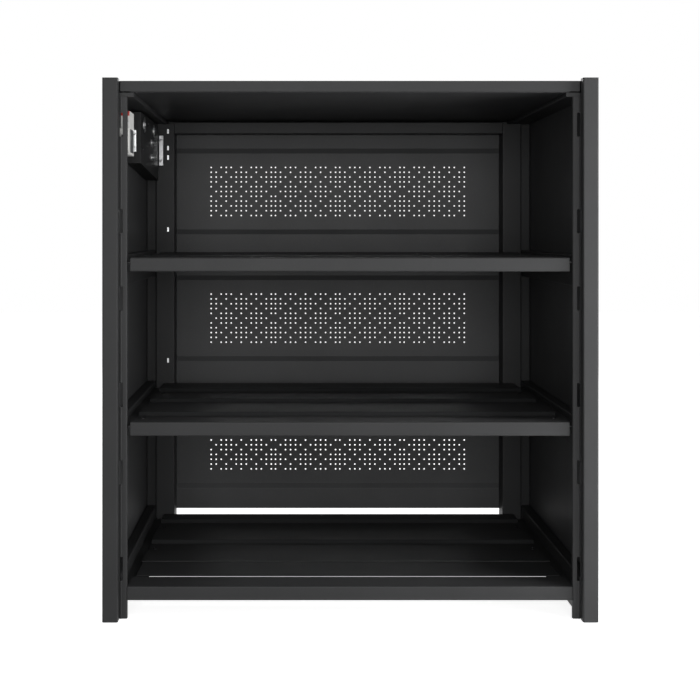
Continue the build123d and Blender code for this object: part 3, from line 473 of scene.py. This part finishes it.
def screw_tree():
    """A round-headed screw: a flange, a dome with a hexagon socket, and its shank."""
    shape = ShapeTree("round_head_screws", {
        "Radius": "NodeSocketFloat", "Head Height": "NodeSocketFloat", "Flange Height": "NodeSocketFloat",
        "Socket Size": "NodeSocketFloat", "Shank": "NodeSocketFloat", "Material": "NodeSocketMaterial"})
    radius = shape.given("Radius")
    wide = shape.maths("MULTIPLY", radius, HEAD_WIDTH / 2)
    tall = shape.maths("MULTIPLY", radius, shape.given("Head Height"))
    brim = shape.maths("MULTIPLY", radius, shape.given("Flange Height"))
    dome_wide = shape.maths("MULTIPLY", wide, DOME_SHARE)
    ball = shape.add("GeometryNodeMeshUVSphere", {"Segments": 28, "Rings": 14, "Radius": 1.0})
    dome = shape.add("GeometryNodeTransform", {
        "Geometry": ball.outputs[0], "Scale": shape.vector(dome_wide, dome_wide, tall)})
    hexagon = shape.add("GeometryNodeMeshCylinder", {
        "Vertices": 6, "Radius": shape.maths("MULTIPLY", radius, shape.given("Socket Size")), "Depth": tall})
    socket = shape.add("GeometryNodeTransform", {
        "Geometry": hexagon.outputs[0], "Translation": shape.vector(z=tall)})
    below = shape.add("GeometryNodeMeshCube", {"Size": shape.vector(
        shape.maths("MULTIPLY", wide, 3.0), shape.maths("MULTIPLY", wide, 3.0), tall)})
    under = shape.add("GeometryNodeTransform", {
        "Geometry": below.outputs[0], "Translation": shape.vector(z=shape.maths("MULTIPLY", tall, -0.5))})
    cut = shape.add("GeometryNodeMeshBoolean", {"Mesh 1": dome.outputs[0]}, operation="DIFFERENCE")
    for tool in (socket, under):
        shape.tree.links.new(tool.outputs[0], cut.inputs["Mesh 2"])
    disc = shape.add("GeometryNodeMeshCylinder", {"Vertices": 32, "Radius": wide, "Depth": brim})
    flange = shape.add("GeometryNodeTransform", {
        "Geometry": disc.outputs[0], "Translation": shape.vector(z=shape.maths("MULTIPLY", brim, 0.5))})
    rod = shape.add("GeometryNodeMeshCylinder", {
        "Vertices": 20, "Radius": radius, "Depth": shape.given("Shank")})
    shank = shape.add("GeometryNodeTransform", {
        "Geometry": rod.outputs[0],
        "Translation": shape.vector(z=shape.maths("MULTIPLY", shape.given("Shank"), -0.5))})
    shape.finish(shape.joined(cut.outputs[0], flange.outputs[0], shank.outputs[0]))
    return shape


def thread_tree():
    """A threaded rod: a plain core with a ridge that winds around it."""
    shape = ShapeTree("threaded_rods", {
        "Radius": "NodeSocketFloat", "Pitch": "NodeSocketFloat", "Length": "NodeSocketFloat",
        "Material": "NodeSocketMaterial"})
    pitch = shape.given("Pitch")
    ridge = shape.maths("MULTIPLY", pitch, RIDGE_SHARE)
    centre = shape.maths("SUBTRACT", shape.given("Radius"), ridge)
    wound = shape.maths("SUBTRACT", shape.given("Length"), shape.maths("MULTIPLY", ridge, 2.0))
    spiral = shape.add("GeometryNodeCurveSpiral", {
        "Resolution": 20, "Rotations": shape.maths("DIVIDE", wound, pitch), "Start Radius": centre,
        "End Radius": centre, "Height": wound})
    profile = shape.add("GeometryNodeCurvePrimitiveCircle", {"Resolution": 4, "Radius": ridge})
    winding = shape.add("GeometryNodeCurveToMesh", {
        "Curve": spiral.outputs[0], "Profile Curve": profile.outputs[0], "Fill Caps": True})
    lifted = shape.add("GeometryNodeTransform", {
        "Geometry": winding.outputs[0], "Translation": shape.vector(z=ridge)})
    rod = shape.add("GeometryNodeMeshCylinder", {
        "Vertices": 32, "Radius": shape.maths("ADD", centre, shape.maths("MULTIPLY", ridge, RIDGE_SUNK)),
        "Depth": shape.given("Length")})
    core = shape.add("GeometryNodeTransform", {
        "Geometry": rod.outputs[0],
        "Translation": shape.vector(z=shape.maths("MULTIPLY", shape.given("Length"), 0.5))})
    shape.finish(shape.joined(lifted.outputs[0], core.outputs[0]))
    return shape


def grown(name, shape, seats, values):
    """Runs a tree on the seats and keeps the result as one plain mesh."""
    points = bpy.data.meshes.new(name + "_seats")
    points.from_pydata([place for place, _ in seats], [], [])
    facing = points.attributes.new("facing", "FLOAT_VECTOR", "POINT")
    for spot, (_, way) in enumerate(seats):
        facing.data[spot].vector = way
    seed = bpy.data.objects.new(name + "_seats", points)
    bpy.context.scene.collection.objects.link(seed)
    growth = seed.modifiers.new("growth", "NODES")
    growth.node_group = shape.tree
    for label, value in values.items():
        growth[shape.named[label]] = value
    evaluated = seed.evaluated_get(bpy.context.evaluated_depsgraph_get())
    mesh = bpy.data.meshes.new_from_object(evaluated)
    mesh.name = name
    bpy.data.objects.remove(seed)
    piece = bpy.data.objects.new(name, mesh)
    bpy.context.scene.collection.objects.link(piece)
    return piece


class CABINET_OT_screws(bpy.types.Operator):
    """Gives every screw a domed head with a hexagon socket, and the terminal studs their threads"""

    bl_idname = "cabinet.screws"
    bl_label = "Screws and Studs"

    def execute(self, context):
        detail = context.scene.cabinet_detail
        shape = screw_tree()
        black = zinc("blackened_screw_steel", (0.06, 0.06, 0.063), 0.40)
        plated = zinc("bright_screw_steel", (0.62, 0.62, 0.63), 0.32)
        for names, metal in ((BLACK_SCREWS, black), (PLATED_SCREWS, plated)):
            for name in names:
                seats = screw_seats(name)
                radius = seats[0][2]
                piece = grown(name + "_heads", shape, [seat[:2] for seat in seats], {
                    "Radius": radius, "Head Height": detail.head_height,
                    "Flange Height": detail.flange_height, "Socket Size": detail.socket_size,
                    "Shank": SHOWN_SHANK, "Material": metal})
                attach(piece, "frame")
                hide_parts(name)
        self.thread_studs(detail)
        return {"FINISHED"}

    def thread_studs(self, detail):
        """Winds a thread around both terminal studs."""
        low, high = (Vector(corner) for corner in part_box("terminal_studs"))
        radius = (high.y - low.y) / 2
        middle = (low.y + high.y) / 2
        seats = [((low.x, middle, level), (1.0, 0.0, 0.0)) for level in (low.z + radius, high.z - radius)]
        steel = zinc("plated_stud_steel", (0.66, 0.66, 0.66), 0.28)
        piece = grown("threaded_terminal_studs", thread_tree(), seats, {
            "Radius": radius, "Pitch": detail.thread_pitch, "Length": high.x - low.x, "Material": steel})
        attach(piece, "frame")
        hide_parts("terminal_studs")


# Stage

def area_lamp(name, place, target, size, power):
    """A soft rectangular lamp that points at a target."""
    light = bpy.data.lights.new(name, "AREA")
    light.shape = "RECTANGLE"
    light.size, light.size_y = size
    light.energy = power
    lamp = bpy.data.objects.new(name, light)
    lamp.location = place
    aim = Vector(target) - Vector(place)
    lamp.visible_camera = False
    lamp.rotation_euler = aim.to_track_quat("-Z", "Y").to_euler()
    bpy.context.scene.collection.objects.link(lamp)


def background_rays(tree):
    """High for camera, glossy and transmission rays."""
    path = node(tree, "ShaderNodeLightPath")
    seen = path.outputs["Is Camera Ray"]
    for kind in ("Is Glossy Ray", "Is Transmission Ray"):
        either = node(tree, "ShaderNodeMath", operation="MAXIMUM")
        tree.links.new(seen, either.inputs[0])
        tree.links.new(path.outputs[kind], either.inputs[1])
        seen = either.outputs["Value"]
    return seen


class CABINET_OT_stage(bpy.types.Operator):
    """Sets the floor, the white surround, the lamps and the camera"""

    bl_idname = "cabinet.stage"
    bl_label = "Studio"

    def execute(self, context):
        settings = context.scene.cabinet_stage
        self.make_floor()
        self.make_world(context)
        level = settings.lamp_level
        for name, (place, target, size, power) in LAMPS.items():
            area_lamp(name, place, target, size, power * level)
        self.make_camera(context, settings)
        context.scene.view_settings.view_transform = "Standard"
        return {"FINISHED"}

    def make_floor(self):
        """A wide pale floor that shows as white but keeps the shadow of the cabinet."""
        mesh = bpy.data.meshes.new("floor")
        shape = bmesh.new()
        bmesh.ops.create_grid(shape, x_segments=1, y_segments=1, size=FLOOR_HALF)
        shape.to_mesh(mesh)
        shape.free()
        floor = bpy.data.objects.new("floor", mesh)
        bpy.context.scene.collection.objects.link(floor)
        material, tree, shader = new_material("pale_floor")
        coords = object_coords(tree)
        tone = blend_colours(tree, noise(tree, coords, 3.0), (0.80, 0.80, 0.80), (0.83, 0.83, 0.83))
        tree.links.new(tone, shader.inputs["Base Color"])
        shader.inputs["Roughness"].default_value = 0.85
        shader.inputs["Specular IOR Level"].default_value = 0.1
        seen = background_rays(tree)
        glow = node(tree, "ShaderNodeMath", operation="MULTIPLY")
        glow.inputs[1].default_value = FLOOR_GLOW
        tree.links.new(seen, glow.inputs[0])
        shader.inputs["Emission Color"].default_value = (1.0, 1.0, 1.0, 1.0)
        tree.links.new(glow.outputs["Value"], shader.inputs["Emission Strength"])
        mesh.materials.append(material)

    def make_world(self, context):
        """A soft grey sky for light, and white where it is seen."""
        world = bpy.data.worlds.new("surround")
        context.scene.world = world
        world.use_nodes = True
        tree = world.node_tree
        tree.nodes.clear()
        output = node(tree, "ShaderNodeOutputWorld")
        soft = node(tree, "ShaderNodeBackground")
        soft.inputs["Color"].default_value = (1.0, 1.0, 1.0, 1.0)
        soft.inputs["Strength"].default_value = SOFT_SKY
        white = node(tree, "ShaderNodeBackground")
        white.inputs["Color"].default_value = (1.0, 1.0, 1.0, 1.0)
        white.inputs["Strength"].default_value = 1.0
        seen = background_rays(tree)
        mix = node(tree, "ShaderNodeMixShader")
        tree.links.new(seen, mix.inputs["Fac"])
        tree.links.new(soft.outputs["Background"], mix.inputs[1])
        tree.links.new(white.outputs["Background"], mix.inputs[2])
        tree.links.new(mix.outputs["Shader"], output.inputs["Surface"])

    def make_camera(self, context, settings):
        """A level camera that looks straight along the cabinet's depth."""
        data = bpy.data.cameras.new("camera")
        data.sensor_width = 36.0
        data.lens = settings.lens
        data.shift_x, data.shift_y = settings.shift
        camera = bpy.data.objects.new("camera", data)
        camera.location = settings.eye
        camera.rotation_euler = (math.radians(90.0), 0.0, 0.0)
        context.scene.collection.objects.link(camera)
        context.scene.camera = camera


class CABINET_PT_panel(bpy.types.Panel):
    """Lists the steps that finish the cabinet."""

    bl_idname = "CABINET_PT_panel"
    bl_label = "Battery Cabinet"
    bl_space_type = "VIEW_3D"
    bl_region_type = "UI"
    bl_category = "Cabinet"

    def draw(self, context):
        for operator in OPERATORS:
            self.layout.operator(operator.bl_idname)


OPERATORS = (
    CABINET_OT_coat, CABINET_OT_hardware, CABINET_OT_breaker, CABINET_OT_screws, CABINET_OT_stage,
)
SETTINGS = {
    "cabinet_finish": CabinetFinishSettings,
    "cabinet_detail": CabinetDetailSettings,
    "cabinet_stage": CabinetStageSettings,
}


def register():
    for group in SETTINGS.values():
        bpy.utils.register_class(group)
    for operator in OPERATORS:
        bpy.utils.register_class(operator)
    bpy.utils.register_class(CABINET_PT_panel)
    for name, group in SETTINGS.items():
        setattr(bpy.types.Scene, name, bpy.props.PointerProperty(type=group))


def unregister():
    for name in SETTINGS:
        delattr(bpy.types.Scene, name)
    bpy.utils.unregister_class(CABINET_PT_panel)
    for operator in reversed(OPERATORS):
        bpy.utils.unregister_class(operator)
    for group in SETTINGS.values():
        bpy.utils.unregister_class(group)


def main():
    register()
    bpy.ops.cabinet.coat()
    bpy.ops.cabinet.hardware()
    bpy.ops.cabinet.breaker()
    bpy.ops.cabinet.screws()
    bpy.ops.cabinet.stage()


if __name__ == "__main__":
    main()
